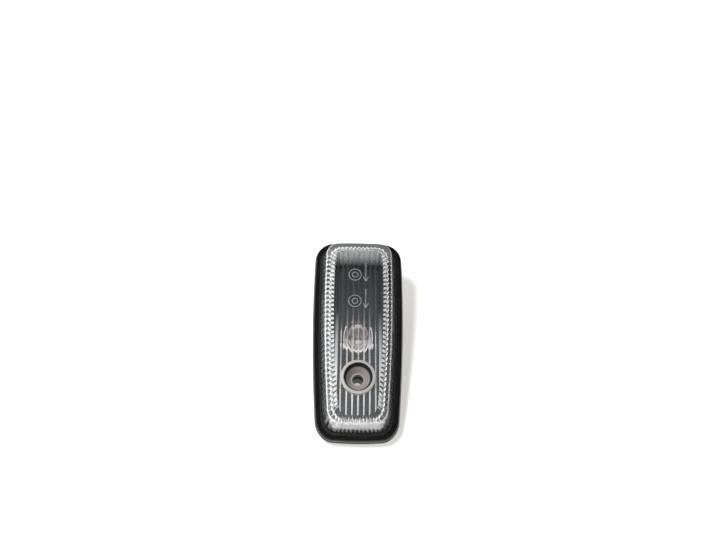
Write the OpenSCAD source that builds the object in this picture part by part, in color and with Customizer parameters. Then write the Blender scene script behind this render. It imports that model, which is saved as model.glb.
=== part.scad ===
// Side repeater lamp: a clear lens on a black housing, held by one screw and a hook,
// with a twist-lock bulb holder behind it and a rubber gasket against the body panel.
// The origin is on the fixing screw's axis, in the plane of the body panel.
// +Z points out of the panel, through the lens; +Y points from the screw to the hook.

/* [Outline] */
// Length of the rubber gasket, the longest piece
gasket_l = 89.4; // [80:0.1:100]
// Width of the gasket at its widest section
gasket_w = 39.2; // [36:0.1:44]
// From the screw's axis to the gasket's near end
screw_to_end = 23.6; // [21:0.1:27]
// From the screw's axis to the widest section
screw_to_widest = 44; // [30:1:56]
// Radius of the bowed long sides
side_bow_r = 714; // [500:1:1500]
// Radius of the bowed ends
end_bow_r = 180; // [120:5:400]
// Radius of the gasket's corners
corner_r = 7.5; // [6:0.1:9]
// How much the corners tighten for each millimetre of inset
corner_tighten = 0.5; // [0.3:0.05:0.6]

/* [Gasket] */
// Thickness of the rubber between the housing and the panel
gasket_t = 1.5; // [1:0.1:2.5]
// Height of the lip that stands round the housing
lip_h = 3.3; // [2.8:0.1:3.8]
// Width of that lip
lip_w = 2.4; // [1.8:0.1:2.8]
// Radius of the lip's outer edge
lip_r = 1; // [0.6:0.1:1.2]
// Depth of the groove above the bead on the outer edge
bead_groove = 0.3; // [0.1:0.05:0.6]
// Clearance of the notch that lets the gasket pass the hook
hook_notch = 0.4; // [0.3:0.1:0.8]

/* [Lens] */
// Height of the face's edge above the panel
lens_h = 13.5; // [11:0.1:16]
// How far the face is crowned above its edge
face_crown = 0.4; // [0.1:0.05:1]
// From the gasket's edge to the top of the drafted wall
wall_top_inset = 5.4; // [4.6:0.1:6.5]
// From the gasket's edge to the foot of the drafted wall
wall_foot_inset = 3.3; // [3:0.1:3.9]
// Radius of the edge round the face
face_edge_r = 1.4; // [0.8:0.1:1.8]
// Thickness of the side walls, to the roots of the ribs
lens_wall = 1.7; // [1.4:0.1:2.2]
// Thickness of the face, to the roots of the flutes
lens_face_t = 1.9; // [1.5:0.1:2.5]
// Height of the foot that is welded to the housing
foot_h = 0.8; // [0.6:0.1:1.2]
// Width of the ledge outside the drafted wall
foot_ledge = 0.6; // [0.3:0.1:0.7]
// Pitch of the ribs inside the walls
rib_pitch = 2.2; // [1.8:0.1:3.2]
// Depth of the ribs
rib_depth = 0.65; // [0.3:0.05:0.8]
// Radius at the top of the ribs, where the walls meet the face
rib_top_r = 2.4; // [0.8:0.1:2.8]
// Pitch of the lengthwise flutes inside the face
flute_pitch = 2.3; // [1.8:0.1:3]
// Number of flutes
flute_count = 10; // [6:2:12]
// Depth of the flutes
flute_depth = 0.15; // [0.1:0.05:0.5]

/* [Screw well] */
// Diameter of the fixing screw's clearance hole
screw_hole_d = 4.4; // [4.2:0.1:5.5]
// Outer diameter of the rim on the face
well_rim_d = 13.8; // [13:0.1:15]
// Height of the rim above the face
well_rim_h = 0.4; // [0.3:0.1:0.8]
// Chamfer round the rim
well_rim_edge = 0.25; // [0.1:0.05:0.3]
// Diameter of the well inside the rim
well_d = 11.5; // [11:0.1:12.6]
// Depth of the straight part of the well
well_depth = 2.6; // [1.5:0.1:3]
// Diameter of the dish in the floor of the well
dish_d = 9.6; // [9:0.1:10.6]
// Depth of the dish
dish_depth = 2.8; // [1.5:0.1:3.2]
// Number of rings moulded in the dish
dish_rings = 5; // [3:1:7]
// Diameter of the flat seat round the hole
seat_d = 5.8; // [5.6:0.1:7]
// Thickness of the floor under the seat
seat_t = 2.3; // [1.5:0.1:3]
// Thickness of the well's wall
well_wall = 1.6; // [1.2:0.1:2]
// How much thicker the well's wall is at its foot
well_foot = 0.8; // [0.4:0.1:1]

/* [Housing] */
// Thickness of the flange that carries the lens
flange_t = 1.5; // [1.2:0.1:2]
// From the gasket's edge to the housing's tray
tray_inset = 6.2; // [5.9:0.1:7]
// Depth of the tray behind the panel
tray_depth = 3.5; // [3.2:0.1:6]
// Thickness of the tray's walls and floor
tray_wall = 1.8; // [1.4:0.1:2.2]
// Height of the rim inside the lens
rim_h = 1.4; // [0.8:0.1:2]
// Width of that rim
rim_w = 1.1; // [0.8:0.1:1.4]
// Diameter of the screw boss
boss_d = 8.8; // [8:0.1:10]
// Thickness of the gussets on the boss
gusset_t = 1.4; // [1:0.1:2]
// How far a gusset reaches out from the boss
gusset_reach = 4.5; // [3:0.5:6]
// Width of the hook behind the panel
hook_w = 12; // [8:0.5:16]
// How far the hook reaches past the tray
hook_reach = 4.2; // [3:0.1:5.5]
// Thickness of the hook
hook_t = 1.9; // [1.5:0.1:2.5]
// Chamfer on the tip of the hook
hook_lead = 0.7; // [0.4:0.1:1]
// Panel thickness that the hook grips, with the squeezed gasket
panel_t = 1.2; // [0.8:0.1:2]

/* [Bulb holder] */
// From the screw's axis to the bulb's axis
screw_to_bulb = 21; // [20:0.5:26]
// Bore of the neck that takes the holder
neck_d = 13.6; // [13.2:0.1:15]
// Wall of the neck
neck_wall = 1.8; // [1.4:0.1:2.2]
// How far the neck stands out behind the tray
neck_h = 3.5; // [2:0.1:5]
// Width of the notches that let the lugs through
notch_w = 3; // [2.5:0.1:3.5]
// Depth of the notches
notch_depth = 1.3; // [1:0.1:1.5]
// Gap between the holder and the neck, on the radius
holder_gap = 0.2; // [0.1:0.05:0.3]
// Thickness of the three lugs
lug_t = 1.3; // [1:0.1:2]
// Diameter of the holder's flange
holder_flange_d = 19; // [18:0.5:22]
// Thickness of that flange
holder_flange_t = 1.6; // [1.2:0.1:2]
// Thickness of the squeezed seal
seal_t = 1.2; // [0.8:0.1:1.6]
// Wall of the cup round the bulb
cup_wall = 1.15; // [1:0.05:1.25]
// Diameter of the barrel behind the flange
barrel_d = 14.5; // [14:0.5:17]
// Floor behind the bulb's pocket
pocket_floor = 1.6; // [1.2:0.1:2.5]
// Width of the connector shroud
shroud_w = 13; // [12.5:0.5:15]
// Height of the connector shroud
shroud_h = 7.8; // [7.4:0.1:9]
// How far the shroud's mouth lies from the bulb's axis
shroud_reach = 20; // [18:0.5:24]
// Wall of the shroud
shroud_wall = 1; // [0.8:0.1:1.2]
// Depth of the socket in the shroud
socket_depth = 9; // [8:0.5:9.5]
// How far the two grips stand out from the barrel
grip_reach = 1.5; // [1:0.1:2]
// Thickness of the grips
grip_t = 2; // [1.5:0.1:3]

/* [Contacts] */
// Thickness of the brass strip
strip_t = 0.4; // [0.3:0.05:0.5]
// Width of the strip and of the blade
strip_w = 2.8; // [2.4:0.1:3]
// Distance between the middles of the two contacts
contact_pitch = 5.6; // [5.2:0.1:6]
// How far the riser stands clear of the leaf beside it
riser_gap = 2; // [1.5:0.1:2.5]
// Height of the leaves that grip the bulb's base
leaf_h = 6; // [4:0.5:7]
// Length of the blade in the socket
blade_l = 7; // [5:0.5:7.5]
// Thickness of the blade
blade_t = 0.8; // [0.6:0.1:0.8]

/* [Bulb] */
// Diameter of the glass
bulb_d = 10.2; // [9.6:0.1:10.3]
// Overall length of the bulb
bulb_l = 26; // [24:0.1:26.8]
// Gap between the tip of the bulb and the roots of the flutes
bulb_tip_gap = 1.2; // [0.8:0.1:3]
// Wall of the glass
glass_t = 0.5; // [0.4:0.05:0.7]
// Width of the flat wedge base
wedge_w = 9.5; // [9:0.1:9.6]
// Thickness of the wedge base
wedge_t = 2.3; // [2.1:0.1:2.5]
// Height of the wedge base
wedge_h = 8.6; // [8:0.1:9.5]
// Diameter of the lead wires
lead_d = 0.6; // [0.4:0.05:0.7]
// Distance between the lead wires
lead_pitch = 5.6; // [5.2:0.1:6]
// Distance from the bottom of the base to the filament
filament_at = 17; // [15:0.5:19]
// Diameter of the filament's coil
filament_d = 0.8; // [0.6:0.1:1]

/* [Hidden] */
$fn = 64;
fit_gap = 0.1;
press_gap = 0.02;
leaf_room = 0.8;
nose_lead = 0.4;
glass_root = 1.6;
cavity_lead = 1;
rib_tip_run = 1.15;
cut = 0.5;

near_y = -screw_to_end;
far_y = gasket_l - screw_to_end;
mid_y = (near_y + far_y) / 2;
hook_tip_y = far_y - tray_inset + hook_reach;

flange_inset = lip_w + fit_gap;
weld_z = gasket_t + flange_t;
foot_inset = wall_foot_inset - foot_ledge;
wall_z = weld_z + foot_h;
wall_draft = (wall_top_inset - wall_foot_inset) / (lens_h - face_edge_r - wall_z);
cavity_top = lens_h - lens_face_t;
well_top_z = cavity_top + lens_face_t / 2;
face_half = gasket_w / 2 - wall_top_inset - face_edge_r;
rim_top_z = lens_h + face_crown + well_rim_h;
well_floor_z = rim_top_z - well_depth;
seat_z = well_floor_z - dish_depth;
boss_top_z = seat_z - seat_t;
tray_floor_z = -tray_depth + tray_wall;
neck_end_z = -tray_depth - neck_h;
flange_front_z = neck_end_z - seal_t;
barrel_front_z = flange_front_z - holder_flange_t;
bulb_tip_z = cavity_top - bulb_tip_gap;
bulb_end_z = bulb_tip_z - bulb_l;
wedge_top_z = bulb_end_z + wedge_h;
nose_z = tray_floor_z + lug_t + fit_gap + nose_lead;
nose_d = neck_d - 2 * holder_gap;
cup_floor_z = wedge_top_z - nose_lead;
strip_z = bulb_end_z - strip_t;
holder_back_z = strip_z - pocket_floor;
shroud_z = holder_back_z + shroud_h / 2;
shroud_mouth_y = screw_to_bulb + shroud_reach;
socket_floor_y = shroud_mouth_y - socket_depth;

// Half the gasket's width at a distance y from the screw
function half_width(y) = gasket_w / 2 - pow(y - screw_to_widest, 2) / (2 * side_bow_r);

// Radius of a corner at a given inset from the gasket's edge
function corner_at(inset) = max(corner_r - corner_tighten * inset, 1);

// Bends a point of a straight outline to the bowed, tapered one
function bowed(p, inset) = [
    p.x * (half_width(p.y) - inset) / (gasket_w / 2 - inset),
    p.y - (p.y - mid_y) / (gasket_l / 2) * p.x * p.x / (2 * end_bow_r)
];

// Outward bulge of a rib at a fraction t along a run of ribs
function bulge(t, ribs, depth) = depth * abs(sin(180 * ribs * t));

function side_run(a, b, out, ribs, depth, steps) =
    [for (i = [0 : steps - 1]) a + (b - a) * i / steps + out * bulge(i / steps, ribs, depth)];

function corner_run(centre, r, from, ribs, depth, steps) =
    [for (i = [0 : steps - 1]) let (t = i / steps, a = from + 90 * t)
        centre + (r + bulge(t, ribs, depth)) * [cos(a), sin(a)]];

// Closed outline at an inset from the gasket's edge, with ribs of a given depth
function outline(inset, depth = 0) = let (
    w = gasket_w / 2 - inset,
    lo = near_y + inset,
    hi = far_y - inset,
    r = min(corner_at(inset), w - 0.2),
    side_ribs = round((hi - lo - 2 * r) / rib_pitch),
    end_ribs = round((2 * w - 2 * r) / rib_pitch),
    corner_ribs = max(round(PI / 2 * r / rib_pitch), 1),
    per = 4,
    ns = depth > 0 ? side_ribs * per : 12,
    ne = depth > 0 ? end_ribs * per : 6,
    nc = depth > 0 ? corner_ribs * per : 10,
    points = concat(
        side_run([w, lo + r], [w, hi - r], [1, 0], side_ribs, depth, ns),
        corner_run([w - r, hi - r], r, 0, corner_ribs, depth, nc),
        side_run([w - r, hi], [r - w, hi], [0, 1], end_ribs, depth, ne),
        corner_run([r - w, hi - r], r, 90, corner_ribs, depth, nc),
        side_run([-w, hi - r], [-w, lo + r], [-1, 0], side_ribs, depth, ns),
        corner_run([r - w, lo + r], r, 180, corner_ribs, depth, nc),
        side_run([r - w, lo], [w - r, lo], [0, -1], end_ribs, depth, ne),
        corner_run([w - r, lo + r], r, 270, corner_ribs, depth, nc)))
    [for (p = points) bowed(p, inset)];

function at_height(flat, z) = [for (p = flat) [p.x, p.y, z]];

// Closed solid through a stack of rings that have the same number of points
module loft(rings) {
    n = len(rings[0]);
    last = len(rings) - 1;
    points = [for (ring = rings) each ring];
    floor_face = [for (i = [0 : n - 1]) i];
    top_face = [for (i = [n - 1 : -1 : 0]) last * n + i];
    wall_faces = [for (k = [0 : last - 1], i = [0 : n - 1])
        let (j = (i + 1) % n, a = k * n + i, b = k * n + j)
        each [[a, a + n, b + n], [a, b + n, b]]];
    polyhedron(points = points, faces = concat([floor_face, top_face], wall_faces));
}

module plate(inset, z0, z1) {
    translate([0, 0, z0])
        linear_extrude(z1 - z0) polygon(outline(inset));
}

module at_bulb() {
    translate([0, screw_to_bulb, 0]) children();
}

// Rings of the outer skin: foot, drafted wall, rounded edge and crowned face
function skin_rings() = let (
    edge = [for (a = [0 : 15 : 90])
        [wall_top_inset + face_edge_r * (1 - cos(a)), lens_h - face_edge_r * (1 - sin(a))]],
    face = [for (k = [0.2, 0.45, 0.8])
        [wall_top_inset + face_edge_r + face_half * k,
            lens_h + face_crown * (1 - pow(1 - k, 2))]],
    foot = [[foot_inset, weld_z], [foot_inset, wall_z - 0.1], [wall_foot_inset, wall_z]])
    [for (s = concat(foot, edge, face)) at_height(outline(s[0]), s[1])];

// Inset of the cavity's wall at a height z, at the roots of the ribs
function cavity_inset(z) = wall_foot_inset + lens_wall + rib_depth + wall_draft * (z - wall_z);

// Points at one inset drawn in to another, so that each rib runs straight up the wall
function drawn_in(points, from, to) = [for (p = points)
    [p.x * (half_width(p.y) - to) / (half_width(p.y) - from),
        mid_y + (p.y - mid_y) * (gasket_l / 2 - to) / (gasket_l / 2 - from)]];

// Insets and heights of the ribbed wall: straight draft, then the rounded tops of the ribs
function cavity_stations(low, high) = let (
    spring_z = cavity_top - rib_top_r,
    spring = cavity_inset(spring_z))
    concat([[cavity_inset(low), low]],
        [for (a = [0, 45]) [spring + rib_top_r * (1 - cos(a)), spring_z + rib_top_r * sin(a)]],
        [[spring + rib_tip_run * rib_top_r, high]]);

module lens_cavity() {
    low = weld_z - cavity_lead;
    high = cavity_top + flute_depth + fit_gap;
    flute_r = (pow(flute_pitch / 2, 2) + pow(flute_depth, 2)) / (2 * flute_depth);
    ribbed = outline(cavity_inset(low), rib_depth);
    intersection() {
        loft([for (s = cavity_stations(low, high))
            at_height(drawn_in(ribbed, cavity_inset(low), s[0]), s[1])]);
        union() {
            translate([-gasket_w / 2, near_y, low - cavity_lead])
                cube([gasket_w, gasket_l, cavity_top - low + cavity_lead]);
            for (i = [0 : flute_count - 1])
                translate([(i - (flute_count - 1) / 2) * flute_pitch, near_y,
                    cavity_top + flute_depth - flute_r])
                    rotate([-90, 0, 0]) cylinder(h = gasket_l, r = flute_r, $fn = 48);
        }
    }
}

// Section of the well: straight part, stepped dish, flat seat and hole
module well_space() {
    step_r = (dish_d - seat_d) / 2 / dish_rings;
    step_h = dish_depth / dish_rings;
    dish = [for (i = [0 : dish_rings - 1]) each
        [[dish_d / 2 - i * step_r, well_floor_z - i * step_h],
            [dish_d / 2 - (i + 0.7) * step_r, well_floor_z - (i + 1) * step_h]]];
    rotate_extrude() polygon(concat(
        [[0, rim_top_z + cut], [well_d / 2, rim_top_z + cut], [well_d / 2, well_floor_z]],
        dish,
        [[seat_d / 2, seat_z], [screw_hole_d / 2, seat_z],
            [screw_hole_d / 2, boss_top_z - cut], [0, boss_top_z - cut]]));
}

module lens() {
    color("white", 0.45) difference() {
        union() {
            difference() {
                loft(skin_rings());
                lens_cavity();
            }
            translate([0, 0, boss_top_z])
                cylinder(h = well_top_z - boss_top_z, d1 = screw_hole_d + 2 * (well_wall + well_foot),
                    d2 = well_d + 2 * well_wall);
            translate([0, 0, cavity_top])
                cylinder(h = rim_top_z - well_rim_edge - cavity_top, d = well_rim_d);
            translate([0, 0, rim_top_z - well_rim_edge])
                cylinder(h = well_rim_edge, d1 = well_rim_d, d2 = well_rim_d - 2 * well_rim_edge);
        }
        well_space();
    }
}

module hook() {
    tip_y = hook_tip_y;
    root_y = far_y - tray_inset - tray_wall;
    translate([-hook_w / 2, 0, 0]) rotate([90, 0, 90]) linear_extrude(hook_w)
        polygon([[root_y, -panel_t], [tip_y - hook_lead, -panel_t], [tip_y, -panel_t - hook_lead],
            [tip_y, -panel_t - hook_t], [root_y, -panel_t - hook_t]]);
}

module housing() {
    color("#17181a") difference() {
        union() {
            plate(flange_inset, gasket_t, weld_z);
            difference() {
                plate(cavity_inset(weld_z + rim_h) + fit_gap, gasket_t, weld_z + rim_h);
                plate(cavity_inset(weld_z + rim_h) + fit_gap + rim_w, weld_z, weld_z + rim_h + cut);
            }
            plate(tray_inset, -tray_depth, gasket_t + cut);
            at_bulb() translate([0, 0, neck_end_z])
                cylinder(h = tray_floor_z - neck_end_z, d = neck_d + 2 * neck_wall);
            hook();
        }
        difference() {
            plate(tray_inset + tray_wall, tray_floor_z, weld_z + cut);
            translate([0, 0, tray_floor_z]) cylinder(h = boss_top_z - tray_floor_z, d = boss_d);
            for (a = [0 : 90 : 270]) rotate([0, 0, a])
                translate([0, -gusset_t / 2, tray_floor_z - cut])
                    cube([boss_d / 2 + gusset_reach, gusset_t, weld_z - tray_floor_z + cut - 1]);
        }
        translate([0, 0, -tray_depth - cut])
            cylinder(h = boss_top_z + tray_depth + 2 * cut, d = screw_hole_d);
        at_bulb() translate([0, 0, neck_end_z - cut])
            cylinder(h = tray_floor_z - neck_end_z + 2 * cut, d = neck_d);
        at_bulb() for (a = [30 : 120 : 270]) rotate([0, 0, a])
            translate([0, -notch_w / 2, neck_end_z - cut])
                cube([neck_d / 2 + notch_depth, notch_w, tray_floor_z - neck_end_z + 2 * cut]);
    }
}

// Insets and heights of the gasket's outside: bead, groove and rounded lip
function gasket_stations() = concat(
    [[bead_groove, 0], [0, bead_groove], [0, gasket_t - 2 * bead_groove],
        [bead_groove, gasket_t - bead_groove]],
    [for (a = [0 : 22.5 : 90])
        [bead_groove + lip_r * (1 - cos(a)), lip_h - lip_r * (1 - sin(a))]],
    [[lip_w - bead_groove / 2, lip_h - bead_groove / 2], [lip_w, lip_h - bead_groove]]);

module gasket() {
    notch_w = hook_w + 2 * hook_notch;
    notch_y = hook_tip_y + hook_notch;
    color("#26272a") difference() {
        loft([for (s = gasket_stations()) at_height(outline(s[0]), s[1])]);
        loft([for (z = [gasket_t, lip_h]) at_height(outline(lip_w), z)]);
        loft([for (z = [-cut, gasket_t + cut]) at_height(outline(tray_inset - fit_gap), z)]);
        translate([-notch_w / 2, notch_y - 2 * hook_reach, -cut])
            cube([notch_w, 2 * hook_reach, gasket_t + cut]);
    }
}

// Bent strip in section: two leaves that grip the base, a riser and a tail to the blade
module contact_strip(gap = 0) {
    leaf_y = wedge_t / 2 + fit_gap / 2;
    top_z = bulb_end_z + leaf_h;
    step_y = leaf_y + strip_t + riser_gap;
    end_y = socket_floor_y - screw_to_bulb;
    rotate([90, 0, 90]) linear_extrude(strip_w + 2 * gap, center = true) {
        translate([-leaf_y - strip_t - gap, strip_z - gap])
            square([leaf_y + strip_t + step_y + gap, strip_t + 2 * gap]);
        for (s = [-1, 1])
            translate([s * (leaf_y + strip_t / 2) - strip_t / 2 - gap, strip_z - gap])
                square([strip_t + 2 * gap, top_z - strip_z + 2 * gap]);
        translate([step_y - strip_t - gap, strip_z - gap])
            square([strip_t + 2 * gap, shroud_z - strip_z + strip_t / 2 + 2 * gap]);
        translate([step_y - strip_t - gap, shroud_z - strip_t / 2 - gap])
            square([end_y - step_y + 2 * strip_t + gap, strip_t + 2 * gap]);
    }
}

module contact(side) {
    color("#c9a24a") at_bulb() translate([side * contact_pitch / 2, 0, 0]) {
        contact_strip();
        translate([-strip_w / 2, socket_floor_y - screw_to_bulb, shroud_z - blade_t / 2])
            cube([strip_w, blade_l, blade_t]);
    }
}

module contact_left() { contact(-1); }

module contact_right() { contact(1); }

module bulb_holder() {
    barrel_l = barrel_front_z - holder_back_z;
    slot_y = wedge_t + fit_gap + 2 * strip_t + 2 * leaf_room;
    color("#d9d6cf") difference() {
        union() {
            at_bulb() {
                translate([0, 0, flange_front_z])
                    cylinder(h = nose_z - flange_front_z, d = nose_d);
                for (a = [90 : 120 : 330]) rotate([0, 0, a])
                    translate([0, -notch_w / 2 + holder_gap, tray_floor_z + fit_gap])
                        cube([neck_d / 2 + notch_depth - holder_gap, notch_w - 2 * holder_gap, lug_t]);
                translate([0, 0, barrel_front_z])
                    cylinder(h = holder_flange_t, d = holder_flange_d);
                translate([0, 0, holder_back_z]) cylinder(h = barrel_l, d = barrel_d);
                for (a = [0, 180]) rotate([0, 0, a])
                    translate([barrel_d / 2 - grip_reach, -grip_t / 2, holder_back_z + shroud_wall])
                        cube([2 * grip_reach, grip_t, barrel_l - shroud_wall]);
            }
            translate([-shroud_w / 2, screw_to_bulb, holder_back_z])
                cube([shroud_w, shroud_reach, shroud_h]);
        }
        at_bulb() {
            translate([0, 0, cup_floor_z])
                cylinder(h = nose_z - cup_floor_z + cut, d = nose_d - 2 * cup_wall);
            translate([-wedge_w / 2 - fit_gap, -slot_y / 2, strip_z])
                cube([wedge_w + 2 * fit_gap, slot_y, cup_floor_z - strip_z + cut]);
            for (side = [-1, 1]) translate([side * contact_pitch / 2, 0, 0]) contact_strip(press_gap);
        }
        translate([-shroud_w / 2 + shroud_wall, socket_floor_y, holder_back_z + shroud_wall])
            cube([shroud_w - 2 * shroud_wall, socket_depth + cut, shroud_h - 2 * shroud_wall]);
    }
}

module holder_seal() {
    color("#2b2b2d") at_bulb() translate([0, 0, flange_front_z]) difference() {
        cylinder(h = seal_t, d = neck_d + 2 * neck_wall);
        translate([0, 0, -cut]) cylinder(h = seal_t + 2 * cut, d = nose_d + 2 * fit_gap);
    }
}

// Half section of the glass: dome, barrel and shoulder
function glass_section(r, top, low) = concat(
    [[0, low]],
    [for (a = [-60 : 15 : 0]) [r * (0.55 + 0.45 * cos(a)), low + r * 0.7 + r * 0.7 * sin(a)]],
    [for (a = [0 : 7.5 : 90]) [r * cos(a), top - r * 1.15 + r * 1.15 * sin(a)]]);

module bulb_glass() {
    shoulder_z = wedge_top_z - nose_lead / 2;
    color("#e4ddd8", 0.6) at_bulb() difference() {
        union() {
            rotate_extrude() polygon(glass_section(bulb_d / 2, bulb_tip_z, shoulder_z));
            translate([-wedge_w / 2, -wedge_t / 2, bulb_end_z])
                cube([wedge_w, wedge_t, wedge_h + glass_root / 2]);
        }
        rotate_extrude() polygon(glass_section(bulb_d / 2 - glass_t, bulb_tip_z - glass_t,
            shoulder_z + glass_root));
        for (side = [-1, 1]) translate([side * lead_pitch / 2, 0, bulb_end_z - cut])
            cylinder(h = wedge_h + 2 * glass_root, d = lead_d + 2 * press_gap, $fn = 24);
    }
}

module bulb_lead(side) {
    top_z = bulb_end_z + filament_at;
    color("#8f8f8c") at_bulb() translate([side * lead_pitch / 2, 0, bulb_end_z])
        cylinder(h = top_z - bulb_end_z, d = lead_d, $fn = 24);
}

module bulb_lead_left() { bulb_lead(-1); }

module bulb_lead_right() { bulb_lead(1); }

module bulb_filament() {
    turns = 9;
    span = lead_pitch - lead_d;
    color("#6e6e70") at_bulb() translate([0, 0, bulb_end_z + filament_at - filament_d])
        rotate([0, 90, 0]) union() {
            cylinder(h = span, d = filament_d / 3, center = true, $fn = 16);
            for (i = [0 : turns - 1])
                translate([0, 0, (i - (turns - 1) / 2) * span / (turns + 1)])
                    rotate_extrude($fn = 24) translate([filament_d / 3, 0]) circle(d = filament_d / 3, $fn = 16);
        }
}

lens();
housing();
gasket();
bulb_holder();
holder_seal();
contact_left();
contact_right();
bulb_glass();
bulb_filament();
bulb_lead_left();
bulb_lead_right();
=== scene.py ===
"""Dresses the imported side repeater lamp: clear lens, black housing, rubber gasket, holder and bulb.

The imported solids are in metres, +Z out of the panel and +Y from the screw to the hook.
"""

import math

import bmesh
import bpy
from mathutils import Euler, Matrix, Vector


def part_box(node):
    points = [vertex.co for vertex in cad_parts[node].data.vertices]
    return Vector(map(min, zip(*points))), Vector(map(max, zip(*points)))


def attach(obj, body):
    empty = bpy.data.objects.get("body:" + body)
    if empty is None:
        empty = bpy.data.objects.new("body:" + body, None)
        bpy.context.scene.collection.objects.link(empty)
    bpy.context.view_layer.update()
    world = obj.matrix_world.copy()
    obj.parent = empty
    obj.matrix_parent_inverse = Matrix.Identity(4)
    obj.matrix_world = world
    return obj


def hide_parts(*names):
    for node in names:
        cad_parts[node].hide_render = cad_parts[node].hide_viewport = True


bl_info = {
    "name": "Side Repeater Lamp",
    "version": (1, 0, 0),
    "blender": (4, 5, 0),
    "location": "View3D > Sidebar > Lamp",
    "description": "Finishes, moulded marks, coil and stage for a clear side repeater lamp",
    "category": "Object",
}

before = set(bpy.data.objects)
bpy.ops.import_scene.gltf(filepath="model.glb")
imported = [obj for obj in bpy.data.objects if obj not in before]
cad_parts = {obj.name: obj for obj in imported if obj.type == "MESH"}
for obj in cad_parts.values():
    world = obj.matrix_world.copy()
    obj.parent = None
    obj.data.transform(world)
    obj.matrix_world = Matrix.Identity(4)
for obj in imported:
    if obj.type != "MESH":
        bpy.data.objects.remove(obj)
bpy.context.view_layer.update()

MM = 0.001
BODY = "root"
WHITE = (1, 1, 1, 1)

PHOTO_WIDTH = 722
SENSOR_WIDTH = 36.0
CLIP_START = 0.01

LENS_REGIONS = ("clear", "rib_tops", "rib_flanks", "shoulders", "shoulder_flanks", "face_edge",
                "outer_wall", "near_wall", "ribbed_wall", "wall_flanks", "cusps",
                "outer_cusps", "streaks", "well_rim", "well_wall", "ledge")

# Heights under the roof between which the rib tops and their shoulders turn hazy: a painted row of
# glints and painted highlights.
RIB_TOP_FADE = (0.5 * MM, 0.3 * MM)
SHOULDER_FADE = (2.0 * MM, 1.6 * MM)

# Heights above the panel between which the walls turn hazy; on the near end's wall this haze is a
# painted band of light.
NEAR_WALL_FADE = (6.8 * MM, 8 * MM)
OUTER_WALL_FOOT = 7 * MM

# Distances from the screw between which the ridges, the streaks and the face's edge turn hazy:
# painted highlights, strongest near the screw.
CUSP_FADE = (30 * MM, -4 * MM)
OUTER_CUSP_FADE = (25 * MM, 0)
STREAK_FADE = (28 * MM, 2 * MM)
FACE_EDGE_FADE = (60 * MM, 0)

# How high the flutes rise over the roof.
FLUTE_RISE = 0.2 * MM

# How far under the dish's top the well's wall starts, and how near to a height is level with it.
DISH_LIP = 0.1 * MM
FLUSH = 0.01 * MM

# Shares of a face's normal that tell the forms apart: a slope, a level face, a steep one.
RIB_SLOPE = (0.1, 0.98)
EDGE_SLOPE = (0.3, 0.75)
STREAK_LEVEL = 0.9
LEVEL = 0.5
STEEP = 0.6
CUSP_LEAN = 0.12
END_WALL = 0.8
ALONG_WALL = 0.5

# Share of the lamps' light that passes haze: the least, what full clarity adds, a fading face's.
HAZE_PASSES = 0.3
CLARITY_PASSES = 0.65
FADING_PASSES = 0.9

# The darker colour in the grain of the haze, as a share of its tint.
HAZE_SHADE = 0.86

# Finish of the frosted dish and of the relief, and the inner ring's size beside the outer one's.
DISH_CLARITY = 0.12
DISH_ROUGHNESS = 0.45
RELIEF_CLARITY = 0.55
RELIEF_ROUGHNESS = 0.4
INNER_RING = 0.45

# Edges of the gasket and of the bulb's glass that are sharper than these stay crisp.
GASKET_CREASE = math.radians(40)
GLASS_CREASE = math.radians(35)
GLASS_IOR = 1.5

# In metres: corners nearer than the first are joined, edges shorter than the second go.
JOIN_DISTANCE = 1e-6
SLIVER = 1e-7

# The strip of the tray that meets the table, the gap left there, and the table's colours.
TRAY_STRIP = 5 * MM
TABLE_CLEARANCE = 0.05 * MM
TABLE_LOW = (0.93, 0.925, 0.905)
TABLE_HIGH = (0.96, 0.955, 0.935)
TABLE_GLOW = (1, 0.99, 0.95, 1)

# Where the key light points, and how the world's light turns from low to high and side to side.
KEY_AIM = Vector((0, 0.02, 0))
HEIGHT_FADE = (0.1, 0.95)
SIDE_FADE = (-0.7, 0.7)

# Depths of the bump under a finish.
FINE_GRAIN = 0.01 * MM
GRAIN = 0.02 * MM
SPARK = 0.03 * MM

# How many steps round a wire, round a ring and in a turn of the coil.
WIRE_SIDES = 8
RING_STEPS = 40
COIL_STEPS = 14

# A mix node gives several sockets the same name: these are the places of its colours.
MIX_LOW, MIX_HIGH, MIX_RESULT = 6, 7, 2

# The stem and the two barbs of an arrow, in shares of its length.
ARROW_TIP = (0.0, -0.35)
ARROW_LINES = (((0.0, 0.65), ARROW_TIP), ((-0.13, -0.12), ARROW_TIP), ((0.13, -0.12), ARROW_TIP))


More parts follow.
